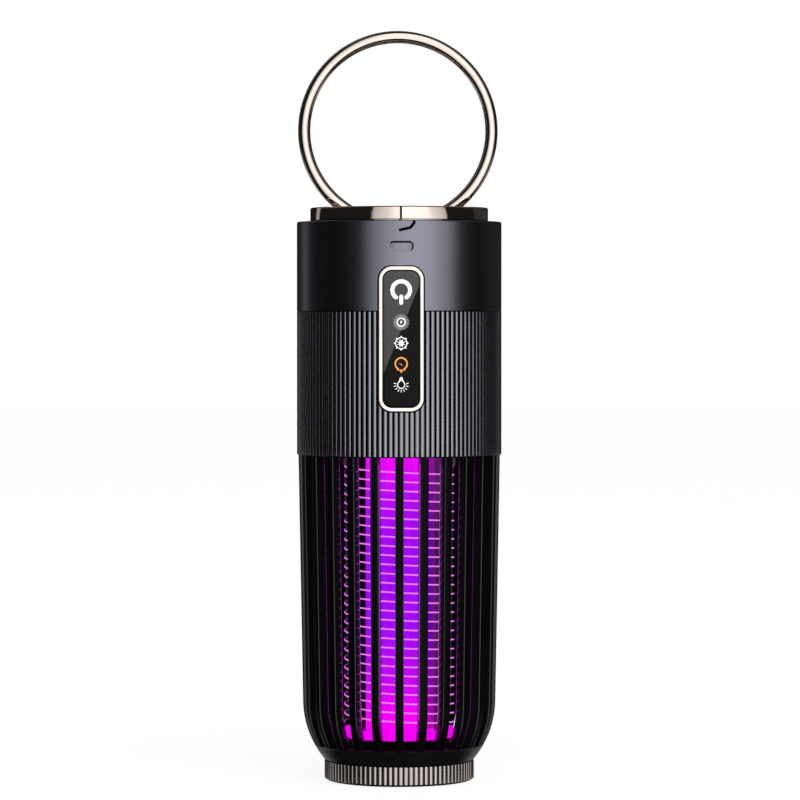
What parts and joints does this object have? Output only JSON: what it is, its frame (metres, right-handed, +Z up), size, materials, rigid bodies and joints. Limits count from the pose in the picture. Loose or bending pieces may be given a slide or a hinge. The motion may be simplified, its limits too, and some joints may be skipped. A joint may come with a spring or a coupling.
{
  "type": "portable insect killer lantern",
  "caption": "Upright rechargeable bug zapper lantern: ring handle, ribbed grip with touch panel, finned cage round a wire grid and violet light, screw-off base.",
  "frame": {"origin": "centre of the underside of the foot ring, on the lantern's upright axis", "axes": "+Z up along the lantern's axis, -Y towards the control panel, +X to the right when facing the panel"},
  "size_m": [0.076, 0.0766, 0.2783],
  "materials": {
    "polished_metal": "polished, warm champagne tint",
    "knurled_metal": "knurled, warm champagne tint",
    "zinc": "die cast, satin",
    "screw_steel": "plated",
    "satin_housing": "satin dark gunmetal",
    "satin_grip": "satin dark gunmetal, ribbed",
    "plug_rubber": "soft silicone, satin",
    "socket_steel": "plated",
    "circuit_board": "solder mask",
    "white_board": "white solder mask",
    "gloss_lens": "glossy black",
    "white_plastic": "moulded",
    "led_resin": "clear resin over phosphor",
    "cell_sleeve": "shrink sleeve",
    "ferrite": "ferrite with copper winding",
    "epoxy": "dipped",
    "can_sleeve": "shrink sleeve",
    "black_plastic": "moulded",
    "lead_sleeve": "silicone insulation",
    "gloss_cage": "glossy black",
    "brass": "bright",
    "grid_wire": "bright drawn wire",
    "violet_tube": "translucent tube, lit violet",
    "lit_carrier": "translucent, lit magenta",
    "seal_rubber": "matte"
  },
  "bodies": {
    "housing": {"handle_saddle": "zinc", "saddle_strap": "zinc", "saddle_screws": "screw_steel", "top_cap": "polished_metal", "cap_screws": "screw_steel", "upper_shell": "satin_housing", "ribbed_grip": "satin_grip", "charging_socket": "socket_steel", "port_board": "circuit_board", "panel_bezel": "polished_metal", "panel_lens": "gloss_lens", "panel_light_guide": "white_plastic", "panel_board": "circuit_board", "panel_leds": "led_resin", "touch_springs": "screw_steel", "inner_frame": "white_plastic", "battery_cell": "cell_sleeve", "battery_tabs": "socket_steel", "main_board": "circuit_board", "step_up_transformer": "ferrite", "high_voltage_capacitor": "epoxy", "reservoir_capacitor": "can_sleeve", "controller_chip": "black_plastic", "wiring": "lead_sleeve", "cage_top_ring": "gloss_cage", "grid_head": "black_plastic", "clamp_screws": "screw_steel", "grid_terminals": "brass", "grid_posts": "black_plastic", "grid_wire_a": "grid_wire", "grid_wire_b": "grid_wire", "light_tube": "violet_tube", "led_board": "white_board", "lure_leds": "led_resin", "lower_carrier": "lit_carrier", "carrier_screws": "screw_steel", "cage_fins": "gloss_cage", "cage_bottom_ring": "gloss_cage"},
    "handle": {"handle_ring": "polished_metal"},
    "port_cover": {"port_plug": "plug_rubber"},
    "tray": {"collection_tray": "black_plastic"},
    "base": {"knurled_base": "knurled_metal", "base_seal": "seal_rubber", "foot_ring": "seal_rubber"}
  },
  "joints": [
    {"name": "handle_fold", "type": "hinge", "parent": "housing", "child": "handle", "pos_m": [0, 0, 0.20649], "axis": [1, 0, 0], "range_deg": [-50, 50]},
    {"name": "port_plug_pull", "type": "slide", "parent": "housing", "child": "port_cover", "axis": [0, -1, 0], "range_m": [0, 0.008]},
    {"name": "tray_drop", "type": "slide", "parent": "housing", "child": "tray", "axis": [0, 0, -1], "range_m": [0, 0.0054]},
    {"name": "base_turn", "type": "hinge", "parent": "tray", "child": "base", "pos_m": [0, 0, 0], "axis": [0, 0, -1], "range_deg": [0, 60]}
  ],
  "couplings": [
    {"joint": "tray_drop", "follows": "base_turn", "m_per_rad": 0.0051566}
  ]
}
